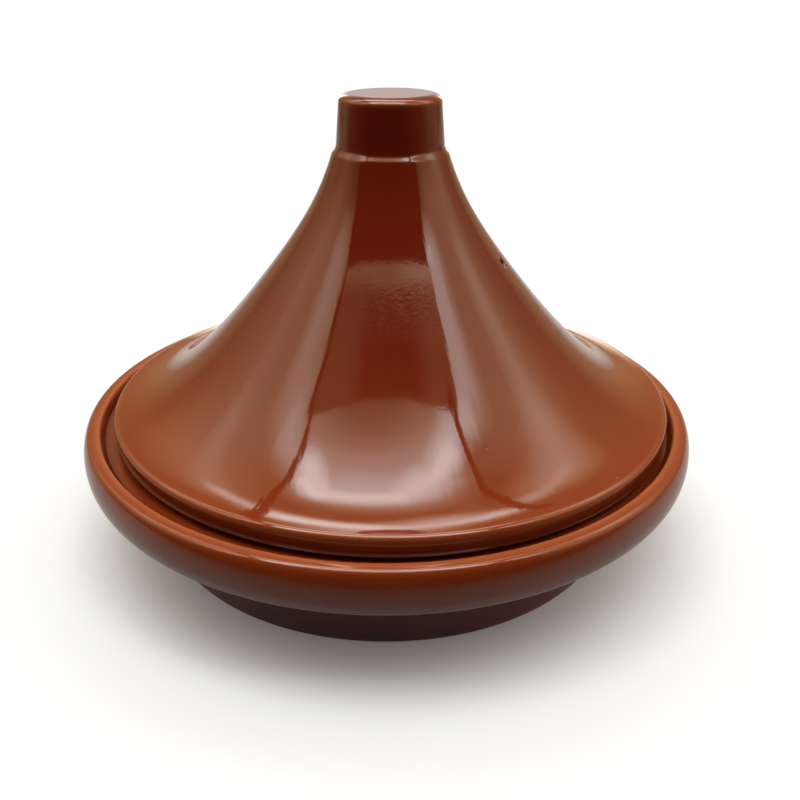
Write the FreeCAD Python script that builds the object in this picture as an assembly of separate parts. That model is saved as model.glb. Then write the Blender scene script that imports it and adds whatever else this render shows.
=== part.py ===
import FreeCAD, Part
import math
import os

# Glazed earthenware tagine: a shallow dish, and a tall flared lid that stands loose in the dish's rim.
# Millimetres. The origin is the middle of the foot on the table, +Z is up and the front faces -Y.

# Lid: its edge and the ring that it stands on
LID_RADIUS = 122.6          # axis to the upright edge
LID_RIM_HEIGHT = 10.9       # seat ledge to the top of the rim
LID_EDGE_ROUND = 2.2        # upper edge of the rim
LID_FOOT_ROUND = 5.0        # lower edge of the rim, curled under to the ring
LID_FOOT_WIDTH = 9.2        # ring under the rim, counted in from the edge
LID_FOOT_CORNER = 1.4       # both inner corners of that ring
LID_WALL = 7.5              # clay between the outer and inner sweep, at the neck and at the rim
LID_OFFSET = 1.7            # the loose lid stands this far to +X of the dish's axis

# Lid: the sweep from neck to rim, its poles as (share of the spread, share of the fall)
SWEEP_HEIGHT = 104.8        # rim top up to the neck
SWEEP_POLES = ((0.0, 0.0), (0.126, 0.357), (0.320, 0.409), (0.614, 0.968), (1.0, 1.0))

# Lid: neck, knob and steam vent
NECK_RADIUS = 24.0          # top of the sweep
NECK_STEP = 2.8             # height of the shoulder between sweep and knob
NECK_BLEND = 1.8            # length of the shoulder curve's two handles
KNOB_FOOT_RADIUS = 22.4
KNOB_TOP_RADIUS = 20.8      # side, where the top has rounded over into it
KNOB_FLAT_RADIUS = 10.0     # level middle of the top
KNOB_EDGE_DROP = 2.6        # height over which the top rounds over
KNOB_HEIGHT = 20.4          # shoulder to the flat top
KNOB_CROWN = 9.0            # clay over the hollow inside the knob
HOLLOW_END_WIDTH = 10.5     # handle of the hollow's rounded end, out from the axis
HOLLOW_END_RISE = 9.0       # handle of the hollow's rounded end, up from the neck
VENT_DIAMETER = 4.0
VENT_MOUTH = 0.8            # depth to which the vent's mouth is softened, and how far it widens
VENT_PLACE = 0.375          # along the sweep's curve, 0 at the neck and 1 at the rim
VENT_TURN = 77.0            # degrees round from the front towards +X

# Dish: rim and seat
LID_PLAY = 3.2              # lid's edge to the foot of the seat wall, all round, when centred
SEAT_LEAN = 1.8             # how far the seat wall leans outwards
SEAT_DEPTH = 4.5            # ledge below the rim's top
SEAT_FILLET = 1.5           # corner between ledge and seat wall
LEDGE_MARGIN = 2.6          # ledge left free inside the lid's ring
LEDGE_ROUND = 2.5           # ledge's inner edge
RIM_WIDTH = 7.4             # rim's inner edge to the fullest radius
RIM_SHOULDER = 3.7          # how far in the rim's top starts to round over
RIM_DROP = 9.3              # rim's top down to the fullest radius
RIM_EDGE_ROUND = 1.0        # rim's inner edge

# Dish: outside, foot and bowl
DISH_HEIGHT = 55.0
RIM_CURL = 17.2             # upright handle of the curve under the rim
FLANK_SLOPE = 51.0          # degrees, where the flank leaves the foot
FLANK_REACH = 14.0          # handle of the flank's curve above the foot
FOOT_RADIUS = 104.0
FOOT_HEIGHT = 18.7          # table to the corner between foot and flank
FOOT_FILLET = 4.0           # that corner
FOOT_EDGE_ROUND = 1.5
FOOT_RING_WIDTH = 9.0
RECESS_DEPTH = 3.0          # turned hollow under the foot
FLOOR_WALL = 8.0            # clay under the bowl's floor
FLOOR_RADIUS = 66.0         # flat of the bowl's floor
BOWL_SLOPE = 70.0           # degrees, where the bowl's side leaves the ledge
BOWL_SIDE = 20.0            # handle of the bowl's curve below the ledge
BOWL_HEEL = 24.0            # handle of the bowl's curve at the floor

# Places that both pieces share
LEDGE_Z = DISH_HEIGHT - SEAT_DEPTH
SEAT_RADIUS = LID_RADIUS + LID_PLAY
LID_FOOT_INNER = LID_RADIUS - LID_FOOT_WIDTH
QUARTER_ROUND = 0.5523      # share of a side that makes a cubic curve a quarter of an ellipse


def at(radius, height):
    """Point or move in the plane of a half section."""
    return FreeCAD.Vector(radius, 0, height)


def along(slope, length):
    """Move outwards and upwards at a slope in degrees."""
    return at(length * math.cos(math.radians(slope)), length * math.sin(math.radians(slope)))


def outward(lean):
    """Direction square to a skin that runs down and outwards along lean."""
    return at(-lean.z, lean.x)


def curve(*poles):
    bezier = Part.BezierCurve()
    bezier.setPoles(list(poles))
    return bezier


def runs(*corners):
    """Straight runs through (point, radius) corners, each inner corner rounded to its radius."""
    edges = []
    start = corners[0][0]
    for before, (corner, radius), after in zip(corners, corners[1:], corners[2:]):
        back = (before[0] - corner).normalize()
        ahead = (after[0] - corner).normalize()
        half_angle = back.getAngle(ahead) / 2
        trim = radius / math.tan(half_angle)
        to_middle = (back + ahead).normalize() * (radius / math.sin(half_angle) - radius)
        edges.append(Part.LineSegment(start, corner + back * trim))
        edges.append(Part.Arc(corner + back * trim, corner + to_middle, corner + ahead * trim))
        start = corner + ahead * trim
    edges.append(Part.LineSegment(start, corners[-1][0]))
    return edges


def turned(edges):
    """Solid turned about Z from the edges of a half section, in order, from axis to axis."""
    closing = Part.LineSegment(edges[-1].EndPoint, edges[0].StartPoint)
    half_section = Part.Face(Part.Wire([edge.toShape() for edge in edges + [closing]]))
    return half_section.revolve(at(0, 0), at(0, 1), 360)


def sweep_poles(neck, rim):
    """The cone's sweep between two points: steep at the neck, almost level at the rim."""
    spread = rim - neck
    return [neck + at(spread.x * across, spread.z * down) for across, down in SWEEP_POLES]


def run_on(poles, distance):
    """Point straight on from a curve's last pole, a horizontal distance further out."""
    leg = poles[-1] - poles[-2]
    return poles[-1] + leg * (distance / leg.x)


def conical_lid():
    rim_top = LEDGE_Z + LID_RIM_HEIGHT
    neck = at(NECK_RADIUS, rim_top + SWEEP_HEIGHT)
    shoulder_z = neck.z + NECK_STEP
    knob_top = shoulder_z + KNOB_HEIGHT

    # Knob: a level middle, a wide soft edge, and a side drawn in slightly towards the top
    knob_foot = at(KNOB_FOOT_RADIUS, shoulder_z)
    flat_end = at(KNOB_FLAT_RADIUS, knob_top)
    side_top = at(KNOB_TOP_RADIUS, knob_top - KNOB_EDGE_DROP)
    knob_lean = (knob_foot - side_top).normalize()
    knob_edge = curve(flat_end, flat_end + at((side_top.x - flat_end.x) * QUARTER_ROUND, 0),
                      side_top - knob_lean * (KNOB_EDGE_DROP * QUARTER_ROUND), side_top)
    knob = [Part.LineSegment(at(0, knob_top), flat_end), knob_edge, Part.LineSegment(side_top, knob_foot)]

    # Shoulder: an S curve from the knob's side into the top of the sweep
    outer = sweep_poles(neck, at(LID_RADIUS - LID_EDGE_ROUND, rim_top))
    neck_lean = (outer[1] - neck).normalize()
    shoulder = curve(knob_foot, knob_foot + knob_lean * NECK_BLEND, neck - neck_lean * NECK_BLEND, neck)
    sweep = curve(*outer)

    # Rim and ring, between the outer sweep and the inner one a wall's thickness inside it
    ring_lead = 2 * LID_FOOT_CORNER
    inner_neck = neck - outward(neck_lean) * LID_WALL
    inner = sweep_poles(inner_neck, at(LID_FOOT_INNER - ring_lead, rim_top - LID_WALL))
    ring = runs((outer[-1], 0),
                (run_on(outer, LID_EDGE_ROUND), LID_EDGE_ROUND),
                (at(LID_RADIUS, LEDGE_Z), LID_FOOT_ROUND),
                (at(LID_FOOT_INNER, LEDGE_Z), LID_FOOT_CORNER),
                (run_on(inner, ring_lead), LID_FOOT_CORNER),
                (inner[-1], 0))

    # The hollow runs on up into the knob and closes in a rounded end
    hollow_top = at(0, knob_top - KNOB_CROWN)
    hollow_end = curve(inner_neck, inner_neck - neck_lean * HOLLOW_END_RISE,
                       hollow_top + at(HOLLOW_END_WIDTH, 0), hollow_top)
    lid = turned(knob + [shoulder, sweep] + ring + [curve(*inner[::-1]), hollow_end])

    # Steam vent, square to the skin, with a softened mouth
    skin = sweep.value(VENT_PLACE)
    vent_way = outward(sweep.tangent(VENT_PLACE)[0])
    vent_radius = VENT_DIAMETER / 2
    bore = Part.makeCylinder(vent_radius, 3 * LID_WALL, skin - vent_way * (2 * LID_WALL), vent_way)
    mouth = Part.makeCone(vent_radius, vent_radius + 2 * VENT_MOUTH, 2 * VENT_MOUTH,
                          skin - vent_way * VENT_MOUTH, vent_way)
    vent = bore.fuse(mouth)
    vent.rotate(at(0, 0), at(0, 1), VENT_TURN - 90)
    lid = lid.cut(vent).Solids[0]
    lid.translate(at(LID_OFFSET, 0))
    return lid


def base_dish():
    rim_inner = SEAT_RADIUS + SEAT_LEAN
    fullest = at(rim_inner + RIM_WIDTH, DISH_HEIGHT - RIM_DROP)
    rim_top = at(fullest.x - RIM_SHOULDER, DISH_HEIGHT)
    floor_z = RECESS_DEPTH + FLOOR_WALL

    # Foot: a ring on the table round a shallow recess, and an upright side
    ring_inner = FOOT_RADIUS - FOOT_RING_WIDTH
    foot_top = at(FOOT_RADIUS, FOOT_HEIGHT)
    flank_start = foot_top + along(FLANK_SLOPE, FOOT_FILLET)
    foot = runs((at(0, RECESS_DEPTH), 0),
                (at(ring_inner - RECESS_DEPTH, RECESS_DEPTH), FOOT_EDGE_ROUND),
                (at(ring_inner, 0), FOOT_EDGE_ROUND),
                (at(FOOT_RADIUS, 0), FOOT_EDGE_ROUND),
                (foot_top, FOOT_FILLET),
                (flank_start, 0))

    # Flank, and the rim that curls out over it and rounds over to a flat top
    flank = curve(flank_start, flank_start + along(FLANK_SLOPE, FLANK_REACH),
                  fullest - at(0, RIM_CURL), fullest)
    shoulder = curve(fullest, fullest + at(0, RIM_DROP * QUARTER_ROUND),
                     rim_top + at(RIM_SHOULDER * QUARTER_ROUND, 0), rim_top)

    # Seat: a wall round the lid's edge and a level ledge under the lid's ring
    ledge_inner = at(LID_FOOT_INNER - LEDGE_MARGIN, LEDGE_Z)
    bowl_start = ledge_inner - along(BOWL_SLOPE, 2 * LEDGE_ROUND)
    seat = runs((rim_top, 0),
                (at(rim_inner, DISH_HEIGHT), RIM_EDGE_ROUND),
                (at(SEAT_RADIUS, LEDGE_Z), SEAT_FILLET),
                (ledge_inner, LEDGE_ROUND),
                (bowl_start, 0))

    # Bowl: a side that sweeps down into a flat floor
    floor_edge = at(FLOOR_RADIUS, floor_z)
    bowl = curve(bowl_start, bowl_start - along(BOWL_SLOPE, BOWL_SIDE),
                 floor_edge + at(BOWL_HEEL, 0), floor_edge)
    floor = Part.LineSegment(floor_edge, at(0, floor_z))
    return turned(foot + [flank, shoulder] + seat + [bowl, floor])


os.makedirs("parts", exist_ok=True)
for node, piece in {"base_dish": base_dish(), "conical_lid": conical_lid()}.items():
    piece.exportStep("parts/" + node + ".step")
    box = piece.optimalBoundingBox()
    print(node, "valid" if piece.isValid() else "NOT VALID", f"{piece.Volume / 1000:.0f} cm3,",
          f"{box.XLength:.1f} x {box.YLength:.1f} x {box.ZLength:.1f} mm from z {box.ZMin:.1f}")
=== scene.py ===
import math
import bmesh
import bpy
from mathutils import Matrix, Vector, noise


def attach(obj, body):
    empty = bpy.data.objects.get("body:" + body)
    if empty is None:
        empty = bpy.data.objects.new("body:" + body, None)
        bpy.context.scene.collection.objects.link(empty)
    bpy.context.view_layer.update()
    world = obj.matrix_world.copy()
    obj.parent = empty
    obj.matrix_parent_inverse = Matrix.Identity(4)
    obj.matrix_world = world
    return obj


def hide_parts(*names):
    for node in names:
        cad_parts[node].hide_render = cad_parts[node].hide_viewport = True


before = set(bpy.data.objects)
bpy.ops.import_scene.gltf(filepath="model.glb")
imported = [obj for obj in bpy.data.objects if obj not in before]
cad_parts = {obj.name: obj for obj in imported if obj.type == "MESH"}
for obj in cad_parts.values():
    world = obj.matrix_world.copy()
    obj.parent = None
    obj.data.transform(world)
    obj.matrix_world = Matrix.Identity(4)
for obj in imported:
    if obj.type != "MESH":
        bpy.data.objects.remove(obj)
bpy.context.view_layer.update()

# Dish: a shallow bowl of red earthenware, shaped on a wheel, with a turned foot and a rolled rim.
# Inside the rim a level ledge carries the lid. It is dipped in a clear brown glaze all over,
# and the ring that it stands on is wiped bare before firing.
MM = 0.001
SIDES = 360                  # facets round each turned piece

DISH_HEIGHT = 55.0
LEDGE = 50.5                 # height of the ledge under the lid
LEDGE_INNER = 110.8
SEAT_RADIUS = 125.8          # foot of the wall round the lid's edge
RIM_INNER = 127.6
FULLEST = Vector((135.0, 45.7))
RIM_TOP = Vector((131.3, DISH_HEIGHT))
FOOT_RADIUS = 104.0
FOOT_HEIGHT = 18.7
RING_INNER = 95.0
RECESS = 3.0
FLOOR_EDGE = Vector((66.0, 11.0))
FLANK_SLOPE = 51.0
BOWL_SLOPE = 70.0
QUARTER_ROUND = 0.5523       # share of a side that makes a cubic curve a quarter of an ellipse
SWELL = 0.035                # the maker's hand leaves slow swells, up to this far either way
SWELL_LENGTH = 24.0
THINNING = 2.4               # the glaze thins or pools this far from an edge or a corner


def at(radius, height):
    return Vector((radius, height))


def along(slope, length):
    """Move outwards and upwards at a slope in degrees."""
    return at(math.cos(math.radians(slope)), math.sin(math.radians(slope))) * length


def on_curve(poles, share):
    """Point on a Bezier curve, 0 at its first pole and 1 at its last."""
    while len(poles) > 1:
        poles = [a.lerp(b, share) for a, b in zip(poles, poles[1:])]
    return poles[0]


def bent(*poles, step=1.3):
    """Points along a Bezier curve, at most a step apart."""
    count = math.ceil(sum((b - a).length for a, b in zip(poles, poles[1:])) / step)
    return [on_curve(poles, i / count) for i in range(count + 1)]


def runs(*corners):
    """Points along straight runs through (place, round) corners, each inner corner rounded."""
    ends = [corners[0][0]]
    arcs = []
    for (before, _), (corner, radius), (after, _) in zip(corners, corners[1:], corners[2:]):
        back = (before - corner).normalized()
        ahead = (after - corner).normalized()
        half_angle = back.angle(ahead) / 2
        trim = radius / math.tan(half_angle)
        middle = corner + (back + ahead).normalized() * (radius / math.sin(half_angle))
        start = corner + back * trim - middle
        end = corner + ahead * trim - middle
        arcs.append([middle + start.normalized().slerp(end.normalized(), i / 10) * radius
                     for i in range(11)])
        ends += [arcs[-1][0], arcs[-1][-1]]
    ends.append(corners[-1][0])
    points = []
    for i in range(0, len(ends), 2):
        a, b = ends[i], ends[i + 1]
        count = max(1, math.ceil((b - a).length / 2.0))
        points += [a.lerp(b, k / count) for k in range(count + 1)]
        if i // 2 < len(arcs):
            points += arcs[i // 2][1:-1]
    return points


def turned(name, outline, bare, shift=0.0):
    """Mesh turned about Z from an outline that runs from axis to axis with the clay on its left.
    Each point also holds how sharply the outline bends there: over 0 on an edge, under 0 in a corner.
    bare is the stretch of radius and height, from low to high, that has no glaze."""
    points = [outline[0]]
    for p in outline[1:]:
        if (p - points[-1]).length > 0.02:      # where two stretches meet, one point is enough
            points.append(p)
    last = len(points) - 1
    leads = [points[min(i + 1, last)] - points[max(i - 1, 0)] for i in range(last + 1)]
    headings = [math.atan2(lead.y, lead.x) for lead in leads]
    bends = []
    for i in range(last + 1):
        turn = headings[min(i + 1, last)] - headings[max(i - 1, 0)]
        turn = (turn + math.pi) % (2 * math.pi) - math.pi
        bends.append(turn / max(leads[i].length, 0.05))
    spread = []
    for i in range(last + 1):
        near = [(max(0.0, 1 - (points[k] - points[i]).length / THINNING), bends[k])
                for k in range(last + 1)]
        spread.append(sum(w * b for w, b in near) / sum(w for w, b in near))

    places = []
    sharpness = []
    faces = []
    rings = []
    for i, p in enumerate(points):
        outward = Vector((leads[i].y, -leads[i].x)).normalized()
        if p.x < 0.01:
            rings.append([len(places)])
            places.append(Vector((shift, 0, p.y)) * MM)
            sharpness.append(spread[i])
            continue
        rings.append(range(len(places), len(places) + SIDES))
        for k in range(SIDES):
            turn = 2 * math.pi * k / SIDES
            way = Vector((math.cos(turn), math.sin(turn), 0))
            place = way * p.x + Vector((0, 0, p.y))
            normal = way * outward.x + Vector((0, 0, outward.y))
            # The swells lie wholly inside the true form
            swell = max(-1.0, min(1.0, noise.noise(place / SWELL_LENGTH) * 0.7))
            place -= normal * SWELL * (1 + swell)
            places.append((place + Vector((shift, 0, 0))) * MM)
            sharpness.append(spread[i])
    wiped = []
    for (low, high), a, b in zip(zip(points, points[1:]), rings, rings[1:]):
        middle = (low + high) / 2
        is_bare = bare[0].x < middle.x < bare[1].x and bare[0].y < middle.y < bare[1].y
        for k in range(SIDES):
            after = (k + 1) % SIDES
            if len(a) == 1:
                faces.append((a[0], b[after], b[k]))
            elif len(b) == 1:
                faces.append((a[k], a[after], b[0]))
            else:
                faces.append((a[k], a[after], b[after], b[k]))
            wiped.append(1 if is_bare else 0)
    mesh = bpy.data.meshes.new(name)
    mesh.from_pydata(places, [], faces)
    mesh.attributes.new("edge", "FLOAT", "POINT").data.foreach_set("value", sharpness)
    mesh.polygons.foreach_set("material_index", wiped)
    mesh.shade_smooth()
    mesh.update()
    piece = bpy.data.objects.new(name, mesh)
    bpy.context.scene.collection.objects.link(piece)
    return piece


flank_start = at(FOOT_RADIUS, FOOT_HEIGHT) + along(FLANK_SLOPE, 4.0)
rim_round = at(FULLEST.x - RIM_TOP.x, RIM_TOP.y - FULLEST.y) * QUARTER_ROUND
ledge_inner = at(LEDGE_INNER, LEDGE)
bowl_start = ledge_inner - along(BOWL_SLOPE, 5.0)
dish_outline = (
    runs((at(0, RECESS), 0),
         (at(RING_INNER - RECESS, RECESS), 1.5),
         (at(RING_INNER, 0), 1.5),
         (at(FOOT_RADIUS, 0), 1.5),
         (at(FOOT_RADIUS, FOOT_HEIGHT), 4.0),
         (flank_start, 0))
    + bent(flank_start, flank_start + along(FLANK_SLOPE, 14.0), FULLEST - at(0, 17.2), FULLEST)
    + bent(FULLEST, FULLEST + at(0, rim_round.y), RIM_TOP + at(rim_round.x, 0), RIM_TOP, step=0.6)
    + runs((RIM_TOP, 0),
           (at(RIM_INNER, DISH_HEIGHT), 1.0),
           (at(SEAT_RADIUS, LEDGE), 1.5),
           (ledge_inner, 2.5),
           (bowl_start, 0))
    + bent(bowl_start, bowl_start - along(BOWL_SLOPE, 20.0), FLOOR_EDGE + at(24.0, 0), FLOOR_EDGE)
    + runs((FLOOR_EDGE, 0), (at(0, FLOOR_EDGE.y), 0)))
dish = turned("glazed_dish", dish_outline, (at(RING_INNER - 2.0, -1), at(FOOT_RADIUS + 0.5, 1.2)))


def linear(hex_colour):
    """Linear colour from an sRGB hex value."""
    shares = [int(hex_colour[i:i + 2], 16) / 255 for i in (1, 3, 5)]
    return [s / 12.92 if s <= 0.04045 else ((s + 0.055) / 1.055) ** 2.4 for s in shares] + [1.0]


def add(material, kind, links=None, **settings):
    """Adds a node: settings go on the node, and links puts a value or an output on each input."""
    new = material.node_tree.nodes.new(kind)
    for name, value in settings.items():
        setattr(new, name, value)
    for socket, value in (links or {}).items():
        if isinstance(value, bpy.types.NodeSocket):
            material.node_tree.links.new(value, new.inputs[socket])
        else:
            new.inputs[socket].default_value = value
    return new


# Brown gloss glaze on red earthenware: a thin coloured glass over the clay. It has a wet shine, thins to
# orange on the edges, where the lighter colour is partly painted light, and lies darker in corners where it
# pools. Its colour is painted darker and redder up the cone as painted shade. It has an orange-peel skin with
# a few pinholes.
glaze = bpy.data.materials.new("brown_gloss_glaze")
glaze.use_nodes = True
glaze.node_tree.nodes.clear()
place = add(glaze, "ShaderNodeTexCoord").outputs["Object"]
clouds = add(glaze, "ShaderNodeTexNoise", {"Vector": place, "Scale": 1 / (28 * MM), "Detail": 3.0})
low_tone = add(glaze, "ShaderNodeMix", {"Factor": clouds.outputs["Fac"], "A": linear("#742C12"),
                                        "B": linear("#7D3415")}, data_type="RGBA")
# Painted shade: the glaze is coloured darker and redder up the cone, from 62 to 115 mm high
height = add(glaze, "ShaderNodeSeparateXYZ", {"Vector": place}).outputs["Z"]
painted_upper_shade = add(glaze, "ShaderNodeMapRange", {"Value": height, "From Min": 62 * MM, "From Max": 115 * MM})
tone_and_painted_upper_shade = add(glaze, "ShaderNodeMix", {"Factor": painted_upper_shade.outputs["Result"], "A": low_tone.outputs["Result"],
                                         "B": linear("#6A200E")}, data_type="RGBA")
# Convex edges turn lighter orange: the glaze thins there, and the lighter colour also stands in for the light
# on lit edges as painted light
edge = add(glaze, "ShaderNodeAttribute", attribute_name="edge").outputs["Fac"]
thin_glaze_and_painted_edge_light = add(glaze, "ShaderNodeMapRange", {"Value": edge, "From Min": 0.12, "From Max": 0.8, "To Max": 0.62},
           interpolation_type="SMOOTHSTEP")
thinned_with_painted_edge_light = add(glaze, "ShaderNodeMix", {"Factor": thin_glaze_and_painted_edge_light.outputs["Result"], "A": tone_and_painted_upper_shade.outputs["Result"],
                                       "B": linear("#A85B36")}, data_type="RGBA")
deep = add(glaze, "ShaderNodeMapRange", {"Value": edge, "From Min": -0.1, "From Max": -0.6, "To Max": 0.65},
           interpolation_type="SMOOTHSTEP")
pooled = add(glaze, "ShaderNodeMix", {"Factor": deep.outputs["Result"], "A": thinned_with_painted_edge_light.outputs["Result"],
                                      "B": linear("#541A0B")}, data_type="RGBA")

# Heights of the skin in millimetres: the peel, a faint grain, slower waves in the coat, and pinholes in some
# of the cells, drawn larger than real ones so that they show. Peel and waves are drawn out down the wall, as
# the wet coat runs, by measuring them round the axis at 45 mm from it.
level = add(glaze, "ShaderNodeVectorMath", {0: place, 1: (1.0, 1.0, 0.0)},
            operation="MULTIPLY").outputs["Vector"]
radius = add(glaze, "ShaderNodeVectorMath", {0: level}, operation="LENGTH").outputs["Value"]
wide = add(glaze, "ShaderNodeMath", {0: radius, 1: 24 * MM}, operation="MAXIMUM").outputs[0]
reach = add(glaze, "ShaderNodeMath", {0: 45 * MM, 1: wide}, operation="DIVIDE").outputs[0]
around = add(glaze, "ShaderNodeVectorMath", {0: level, "Scale": reach}, operation="SCALE").outputs["Vector"]
drawn = add(glaze, "ShaderNodeVectorMath", {0: place, 1: (0.0, 0.0, 0.12), 2: around},
            operation="MULTIPLY_ADD").outputs["Vector"]
peel = add(glaze, "ShaderNodeTexNoise", {"Vector": drawn, "Scale": 1 / (1.5 * MM), "Detail": 1.0})
peel_height = add(glaze, "ShaderNodeMath", {0: peel.outputs["Fac"], 1: 0.022}, operation="MULTIPLY")
grain = add(glaze, "ShaderNodeTexNoise", {"Vector": place, "Scale": 1 / (1.3 * MM), "Detail": 0.0})
grain_height = add(glaze, "ShaderNodeMath", {0: grain.outputs["Fac"], 1: 0.0045, 2: peel_height.outputs[0]},
                   operation="MULTIPLY_ADD")
waves = add(glaze, "ShaderNodeTexNoise", {"Vector": drawn, "Scale": 1 / (6 * MM), "Detail": 1.0})
wave_height = add(glaze, "ShaderNodeMath", {0: waves.outputs["Fac"], 1: 0.03, 2: grain_height.outputs[0]},
                  operation="MULTIPLY_ADD")
cells = add(glaze, "ShaderNodeTexVoronoi", {"Vector": place, "Scale": 1 / (13 * MM)})
chosen = add(glaze, "ShaderNodeMath", {0: cells.outputs["Color"], 1: 0.55}, operation="GREATER_THAN")
pit = add(glaze, "ShaderNodeMapRange", {"Value": cells.outputs["Distance"], "From Min": 0.5 / 13,
                                        "From Max": 0.2 / 13})
pinhole = add(glaze, "ShaderNodeMath", {0: pit.outputs["Result"], 1: chosen.outputs[0]}, operation="MULTIPLY")
skin_height = add(glaze, "ShaderNodeMath", {0: pinhole.outputs[0], 1: -0.12, 2: wave_height.outputs[0]},
                  operation="MULTIPLY_ADD")
skin = add(glaze, "ShaderNodeBump", {"Height": skin_height.outputs[0], "Strength": 1.0, "Distance": MM})
gloss = add(glaze, "ShaderNodeMapRange", {"Value": clouds.outputs["Fac"], "From Min": 0.3, "From Max": 0.7,
                                          "To Min": 0.04, "To Max": 0.065})
glass = add(glaze, "ShaderNodeBsdfPrincipled", {"Base Color": pooled.outputs["Result"], "IOR": 1.6,
                                                "Roughness": gloss.outputs["Result"],
                                                "Normal": skin.outputs["Normal"]})
add(glaze, "ShaderNodeOutputMaterial", {"Surface": glass.outputs["BSDF"]})

# Bare fired earthenware: dull orange-red and gritty, where the glaze was wiped off the foot ring
clay = bpy.data.materials.new("bare_earthenware")
clay.use_nodes = True
clay.node_tree.nodes.clear()
place = add(clay, "ShaderNodeTexCoord").outputs["Object"]
grit = add(clay, "ShaderNodeTexNoise", {"Vector": place, "Scale": 1 / (0.8 * MM), "Detail": 4.0})
clay_tone = add(clay, "ShaderNodeMix", {"Factor": grit.outputs["Fac"], "A": linear("#9C5231"),
                                        "B": linear("#C07A50")}, data_type="RGBA")
gritty = add(clay, "ShaderNodeBump", {"Height": grit.outputs["Fac"], "Strength": 1.0, "Distance": 0.1 * MM})
fired = add(clay, "ShaderNodeBsdfPrincipled", {"Base Color": clay_tone.outputs["Result"], "Roughness": 0.85,
                                               "Normal": gritty.outputs["Normal"]})
add(clay, "ShaderNodeOutputMaterial", {"Surface": fired.outputs["BSDF"]})

dish.data.materials.append(glaze)
dish.data.materials.append(clay)
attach(dish, "dish")
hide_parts("base_dish")

# Lid: a tall cone of the same clay that flares out to an almost level rim, with a knob turned on its neck.
# It is glazed like the dish and stands loose on the dish's ledge, and a small hole beside the neck lets
# out steam.
LID_RADIUS = 122.6
LID_RIM_TOP = LEDGE + 10.9
LID_SHIFT = 1.7              # the loose lid stands this far to +X of the dish's axis
SWEEP = ((0.0, 0.0), (0.126, 0.357), (0.320, 0.409), (0.614, 0.968), (1.0, 1.0))
NECK = at(24.0, LID_RIM_TOP + 104.8)
KNOB_FOOT = at(22.2, NECK.y + 3.0)
KNOB_TOP = NECK.y + 23.2
KNOB_FLAT = at(15.8, KNOB_TOP)
KNOB_SIDE = at(20.8, KNOB_TOP - 2.6)
LID_EDGE = 2.2               # rounding of the rim's upper edge
LID_RING = LID_RADIUS - 9.2  # inner side of the ring that stands on the ledge
RING_INSET = 2.8             # the inner sweep ends this far inside the ring
WALL = 7.5
CROWN = 9.0                  # clay over the hollow in the knob
VENT_PLACE = 0.375           # along the sweep, 0 at the neck and 1 at the rim
VENT_TURN = 77.0             # degrees round from the front towards +X
VENT_SIDES = 48


def sweep(neck, rim):
    """Poles of the cone's curve from its neck to its rim."""
    return [at(neck.x + (rim.x - neck.x) * across, neck.y + (rim.y - neck.y) * down)
            for across, down in SWEEP]


def run_on(poles, distance):
    """Place where the curve's end runs on outwards by a distance."""
    leg = poles[-1] - poles[-2]
    return poles[-1] + leg * (distance / leg.x)


outer = sweep(NECK, at(LID_RADIUS - LID_EDGE, LID_RIM_TOP))
neck_lean = (outer[1] - NECK).normalized()
inner_neck = NECK + at(neck_lean.y, -neck_lean.x) * WALL
inner = sweep(inner_neck, at(LID_RING - RING_INSET, LID_RIM_TOP - WALL))
knob_lean = (KNOB_FOOT - KNOB_SIDE).normalized()
knob_round = at(KNOB_SIDE.x - KNOB_FLAT.x, KNOB_TOP - KNOB_SIDE.y) * QUARTER_ROUND
lid_outline = (
    runs((at(0, KNOB_TOP), 0), (KNOB_FLAT, 0))
    + bent(KNOB_FLAT, KNOB_FLAT + at(knob_round.x, 0), KNOB_SIDE - knob_lean * knob_round.y, KNOB_SIDE,
           step=0.35)
    + runs((KNOB_SIDE, 0), (KNOB_FOOT, 0))
    + bent(KNOB_FOOT, KNOB_FOOT + knob_lean * 1.0, NECK - neck_lean * 0.9, NECK, step=0.35)
    + bent(*outer)
    + runs((outer[-1], 0),
           (run_on(outer, LID_EDGE), LID_EDGE),
           (at(LID_RADIUS, LEDGE), 5.0),
           (at(LID_RING, LEDGE), 1.4),
           (run_on(inner, RING_INSET), 1.4),
           (inner[-1], 0))
    + bent(*inner[::-1])
    + bent(inner_neck, inner_neck - neck_lean * 9.0, at(10.5, KNOB_TOP - CROWN), at(0, KNOB_TOP - CROWN)))
lid = turned("glazed_lid", lid_outline[::-1], (at(113.0, 49), at(119.0, 50.9)), LID_SHIFT)
lid.data.materials.append(glaze)
lid.data.materials.append(clay)

# The steam vent is bored square to the wall, and its mouth is softened before glazing
skin_point = on_curve(outer, VENT_PLACE)
lean = (on_curve(outer, VENT_PLACE + 0.01) - on_curve(outer, VENT_PLACE - 0.01)).normalized()
vent_way = at(-lean.y, lean.x)
front_to_vent = Matrix.Rotation(math.radians(VENT_TURN - 90), 4, "Z")
vent_axis = front_to_vent @ Vector((vent_way.x, 0, vent_way.y))
vent_mouth = front_to_vent @ Vector((skin_point.x, 0, skin_point.y)) + Vector((LID_SHIFT, 0, 0))
drill = bmesh.new()
rings = []
for radius, depth in ((2.0, -2 * WALL), (2.0, -1.0), (2.12, -0.6), (2.4, -0.25), (2.8, 0.0), (3.6, 0.4)):
    ring = bmesh.ops.create_circle(drill, segments=VENT_SIDES, radius=radius,
                                   matrix=Matrix.Translation((0, 0, depth)))
    rings.append(ring["verts"])
for a, b in zip(rings, rings[1:]):
    for k in range(VENT_SIDES):
        after = (k + 1) % VENT_SIDES
        drill.faces.new((a[k], a[after], b[after], b[k]))
drill.faces.new(rings[0][::-1])
drill.faces.new(rings[-1])
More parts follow.
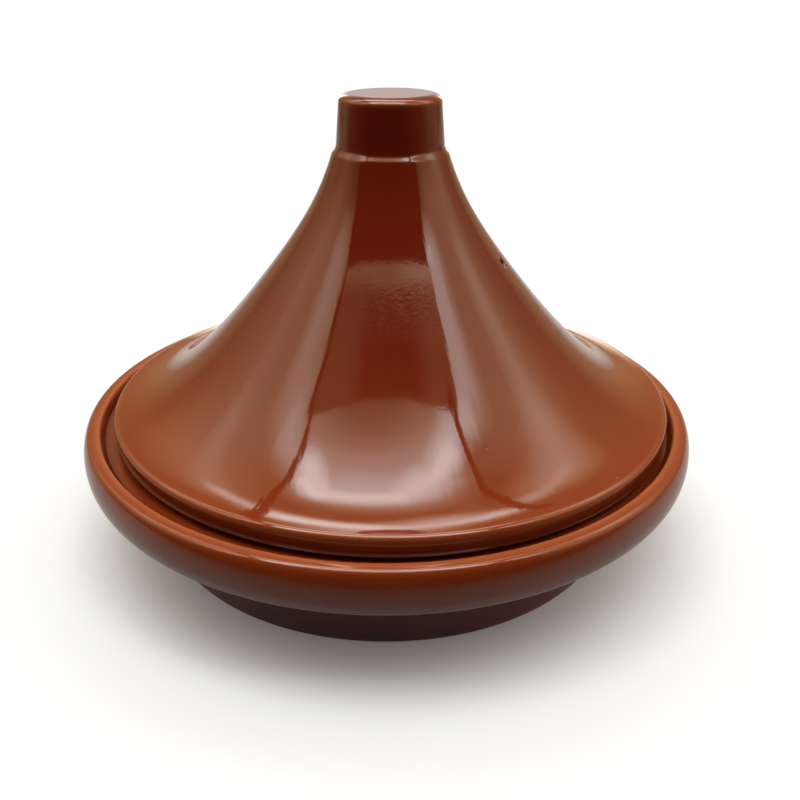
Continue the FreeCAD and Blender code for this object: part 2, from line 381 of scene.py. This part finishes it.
drill.transform(Matrix.Translation(vent_mouth * MM)
                @ vent_axis.to_track_quat("Z", "Y").to_matrix().to_4x4()
                @ Matrix.Scale(MM, 4))
drill_mesh = bpy.data.meshes.new("vent_drill")
drill.to_mesh(drill_mesh)
drill_bit = bpy.data.objects.new("vent_drill", drill_mesh)
bpy.context.scene.collection.objects.link(drill_bit)
bore = lid.modifiers.new("vent", "BOOLEAN")
bore.object = drill_bit
bpy.context.view_layer.update()
bored = bpy.data.meshes.new_from_object(lid.evaluated_get(bpy.context.evaluated_depsgraph_get()))
lid.modifiers.clear()
lid.data = bored
bored.set_sharp_from_angle(angle=math.radians(50))
bpy.data.objects.remove(drill_bit)

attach(lid, "lid")
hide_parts("conical_lid")


# Stage: a white table inside a light tent. Lamp tubes behind the cloth light its roof and walls, two black
# seams run along the roof, and the front is open and dark where the camera looks in.
MIDDLE = Vector((0, 0, 0.1))
TENT_RADIUS = 2.0            # metres from the pot's middle to the cloth

# Tubes as (end, other end, spread, brightness). Places are degrees to the right and to the front of
# straight overhead.
TUBES = (
    ((-24.5, 9), (-18, 1), 7.1, 7.8),
    ((-22, 1.5), (-16.5, -4.5), 4.7, 8.6),
    ((-14.5, -2.5), (1.5, 0), 7.6, 7.9),
    ((-10, 4), (1.5, 5), 15.9, 5.1),
    ((5, 4), (9, 8.5), 10.8, 7.3),
    ((12.5, 10), (20, 17), 6.5, 7.8),
    ((15, 16.5), (22.5, 19.5), 7.5, 5.8),
    ((-25.5, 10), (13.5, 16.5), 14.4, 3.4),
    ((-27.5, -30), (-14.5, -31.5), 4.5, 4),
    ((-14, -33), (-2.5, -33), 5.4, 7.3),
    ((-3.5, -37), (8, -28), 8.3, 4.1),
    ((2.5, -32.5), (15, -30), 4.7, 5.5),
    ((0, -16), (0, -28), 14, 0.6),
    ((-13, -14), (-11, -27), 6, 0.9),
    ((13, -12), (13, -25), 6, 1.0),
    ((-34, 8.5), (-38, 11.5), 9.2, 3.5),
    ((-38, 13), (-44.5, 12), 12.6, 2.5),
    ((29.5, 20), (32, 19), 6.4, 4.6),
    ((34.8, 25.6), (37.5, 24.8), 3, 4.6),
    ((38.5, 21), (37, 22), 10.5, 3.5),
    ((-53, -13.5), (-29.5, -30), 10.8, 2),
    ((51.5, -9), (36.5, -19.5), 14.3, 2.6),
    ((38.5, -20.5), (23.5, -24.5), 5.2, 3.2),
    ((-46, 0.5), (-50.5, -8.5), 24.2, 1.5),
    ((45, 11.5), (60, -7), 26.7, 1.4),
    ((-50, -6), (-42, -23), 26.5, 1.5),
    ((53.5, 19), (69.5, -7), 17.8, 1.4),
    ((-17, -74), (-20, -84), 5.9, 5.2),
    ((23.5, -74.5), (23.5, -82), 6.5, 4.6),
    ((-12, -79), (12, -79), 8, 0.85),
    ((-41, -72), (44.5, -72.5), 31.8, 0.5),
    ((-81.5, -36), (76.5, -29.5), 27.9, 0.5),
)


def overhead(right, front, radius=TENT_RADIUS):
    """Place on the tent, in degrees to the right and to the front of straight overhead."""
    tilt = math.radians(math.hypot(right, front))
    turn = math.atan2(right, front)
    way = Vector((math.sin(tilt) * math.sin(turn), -math.sin(tilt) * math.cos(turn), math.cos(tilt)))
    return MIDDLE + way * radius


def brightness(right, front):
    """How bright the cloth is there: that of the tube that lights it most."""
    best = 0.0
    for (ax, ay), (bx, by), spread, strength in TUBES:
        a, b, p = Vector((ax, ay)), Vector((bx, by)), Vector((right, front))
        share = max(0.0, min(1.0, (p - a).dot(b - a) / (b - a).length_squared))
        best = max(best, strength * math.exp(-((p - a.lerp(b, share)).length / spread) ** 2))
    return best


def cloth(name, rows, radius, lit):
    """Sheet of the tent through rows of places, each as bright as lit says. Bright places are white, and so
    is the foot of the back wall. The others are warm."""
    wide = len(rows[0])
    mesh = bpy.data.meshes.new(name)
    mesh.from_pydata([overhead(*p, radius) for row in rows for p in row], [],
                     [(r * wide + k, r * wide + k + 1, (r + 1) * wide + k + 1, (r + 1) * wide + k)
                      for r in range(len(rows) - 1) for k in range(wide - 1)])
    levels = [lit(*p) for row in rows for p in row]
    whites = [max((level - 0.8) / 3.2, min((-60 - front) / 12, 1.6 - abs(right) / 15))
              for level, (right, front) in zip(levels, sum(rows, []))]
    mesh.attributes.new("lit", "FLOAT", "POINT").data.foreach_set("value", levels)
    mesh.attributes.new("white", "FLOAT", "POINT").data.foreach_set("value", whites)
    mesh.materials.append(tent_cloth)
    sheet = bpy.data.objects.new(name, mesh)
    bpy.context.scene.collection.objects.link(sheet)
    sheet.visible_camera = False
    return sheet


# Thin white tent cloth, which glows where the tubes light it
tent_cloth = bpy.data.materials.new("tent_cloth")
tent_cloth.use_nodes = True
tent_cloth.node_tree.nodes.clear()
lit = add(tent_cloth, "ShaderNodeAttribute", attribute_name="lit")
white = add(tent_cloth, "ShaderNodeAttribute", attribute_name="white")
warmth = add(tent_cloth, "ShaderNodeMix", {"Factor": white.outputs["Fac"], "A": linear("#FFDFA6"),
                                           "B": linear("#FFFCF5")}, data_type="RGBA")
light = add(tent_cloth, "ShaderNodeEmission", {"Color": warmth.outputs["Result"],
                                               "Strength": lit.outputs["Fac"]})
add(tent_cloth, "ShaderNodeOutputMaterial", {"Surface": light.outputs["Emission"]})

ring = [(math.sin(math.radians(turn)), math.cos(math.radians(turn))) for turn in range(0, 361, 4)]
tilts = [0.01] + [2.5 * k for k in range(1, 39)]
cloth("tent", [[(x * tilt, y * tilt) for x, y in ring] for tilt in tilts], TENT_RADIUS, brightness)
for name, *places in (
        ("left_seam", (-36.8, 23.5), (-35.4, 20), (-32.6, 16.6), (-30.4, 12.5), (-26.6, 0), (-18.3, -31),
         (-14.7, -46.8)),
        ("right_seam", (28.5, 25), (26.6, 16.5), (21.5, -4), (19.3, -29), (19.5, -40))):
    rows = [[(right + side, front) for right, front in places] for side in (-1.2, 1.2)]
    cloth(name, rows, TENT_RADIUS - 0.01, lambda right, front: 0.05)


def arch(first, last, *edges):
    """Rows of places across the front between two turns, each edge as (tilt in the middle, growth to the
    sides)."""
    turns = [math.radians(first + (last - first) * k / 30) for k in range(31)]
    return [[(math.sin(a) * (tilt + grow * a * a), math.cos(a) * (tilt + grow * a * a)) for a in turns]
            for tilt, grow in edges]


def front_light(right, front):
    """The band is dark in its middle, and fades into the roof, the side walls and the lit hem along its
    lower edge."""
    tilt = math.hypot(right, front)
    turn = math.atan2(right, front)
    roof = 0.8 * (31.7 + 5.8 * turn * turn - tilt) / 0.5
    hem = (1.15 + max(0.0, right) * 0.035) * min(1.0, (tilt - 34.95 - 7.5 * turn * turn) / 0.5)
    side = 0.45 * min(1.0, (abs(math.degrees(turn)) - 22) / 18)
    return max(0.01, roof, hem, side)


front_rows = [(31.2 + 0.395 * k, 5.8 + 0.17 * k) for k in range(11)] + [(35.5, 7.3), (36.2, 6.9), (37.5, 6.2)]
cloth("front_band", arch(-61, 54, *front_rows), TENT_RADIUS - 0.01, front_light)
cloth("front_opening", arch(-60, 52, (37.5, 6.2), (75.0, 0.0)), TENT_RADIUS - 0.02,
      lambda right, front: 0.008)

# Matt white laminate table. The camera sees it as white paper with the pot's shadow. In the glaze it shows
# grey, with painted shade that darkens it towards the front and a soft pool of painted white light that glows
# behind the pot.
table = bpy.data.materials.new("white_table")
table.use_nodes = True
table.node_tree.nodes.clear()
place = add(table, "ShaderNodeTexCoord").outputs["Object"]
away = add(table, "ShaderNodeVectorMath", {0: place}, operation="LENGTH")
ray = add(table, "ShaderNodeLightPath")
mirrored = add(table, "ShaderNodeMath", {0: ray.outputs["Is Glossy Ray"],
                                         1: ray.outputs["Is Transmission Ray"]}, operation="MAXIMUM")
near_fade = add(table, "ShaderNodeMapRange", {"Value": away.outputs["Value"], "From Min": 0.05,
                                              "From Max": 0.32}, interpolation_type="SMOOTHSTEP")
# Painted light: a soft white pool glows on the table behind the pot, seen only in the glaze
painted_pool_centre = add(table, "ShaderNodeMapping", {"Vector": place, "Location": (0.0, -0.45, 0.0),
                                        "Scale": (1.4, 1.0, 1.0)})
outwards = add(table, "ShaderNodeVectorMath", {0: painted_pool_centre.outputs["Vector"]}, operation="LENGTH")
painted_light_pool = add(table, "ShaderNodeMapRange", {"Value": outwards.outputs["Value"], "From Min": 0.15,
                                              "From Max": 0.8, "To Min": 0.42, "To Max": 0.0},
                interpolation_type="SMOOTHSTEP")
seen_wash = add(table, "ShaderNodeMath", {0: near_fade.outputs["Result"], 1: ray.outputs["Is Camera Ray"]},
                operation="MULTIPLY")
white_wash_and_painted_pool = add(table, "ShaderNodeMath", {0: painted_light_pool.outputs["Result"], 1: mirrored.outputs[0],
                                     2: seen_wash.outputs[0]}, operation="MULTIPLY_ADD")
# Painted shade: the table's colour, as the glaze sees it, darkens towards the front
depth = add(table, "ShaderNodeSeparateXYZ", {"Vector": place}).outputs["Y"]
painted_front_shade = add(table, "ShaderNodeMapRange", {"Value": depth, "From Min": -0.02, "From Max": -0.36},
              interpolation_type="SMOOTHSTEP")
table_tone_and_painted_shade = add(table, "ShaderNodeMix", {"Factor": painted_front_shade.outputs["Result"], "A": linear("#ABADB1"),
                                        "B": linear("#302F2E")}, data_type="RGBA")
tone = add(table, "ShaderNodeMix", {"Factor": ray.outputs["Is Camera Ray"], "A": table_tone_and_painted_shade.outputs["Result"],
                                    "B": linear("#E4EEFF")}, data_type="RGBA")
matt = add(table, "ShaderNodeBsdfDiffuse", {"Color": tone.outputs["Result"]})
white = add(table, "ShaderNodeEmission", {"Color": linear("#FFFFFF"), "Strength": 1.0})
both = add(table, "ShaderNodeMixShader", {0: white_wash_and_painted_pool.outputs[0], 1: matt.outputs["BSDF"],
                                          2: white.outputs["Emission"]})
add(table, "ShaderNodeOutputMaterial", {"Surface": both.outputs["Shader"]})
bpy.ops.mesh.primitive_circle_add(vertices=128, radius=TENT_RADIUS, fill_type="NGON",
                                  location=(0, 0, -0.0002))
floor = bpy.context.object
floor.name = "table"
floor.data.materials.append(table)

world = bpy.data.worlds.new("white_room")
bpy.context.scene.world = world
world.use_nodes = True
world.node_tree.nodes.clear()
room = add(world, "ShaderNodeBackground", {"Color": linear("#FFFFFF"), "Strength": 1.0})
add(world, "ShaderNodeOutputWorld", {"Surface": room.outputs["Background"]})

# Camera: close in front of the pot and a little above the knob, as the photograph was taken
lens = bpy.data.cameras.new("camera")
lens.sensor_width = 36.0
lens.lens = 40.5
lens.shift_x = 0.0081
camera = bpy.data.objects.new("camera", lens)
bpy.context.scene.collection.objects.link(camera)
camera.location = (0.003, -0.375, 0.2351)
camera.rotation_euler = (math.radians(90 - 25.81), 0, 0)
bpy.context.scene.camera = camera
bpy.context.scene.view_settings.view_transform = "Standard"
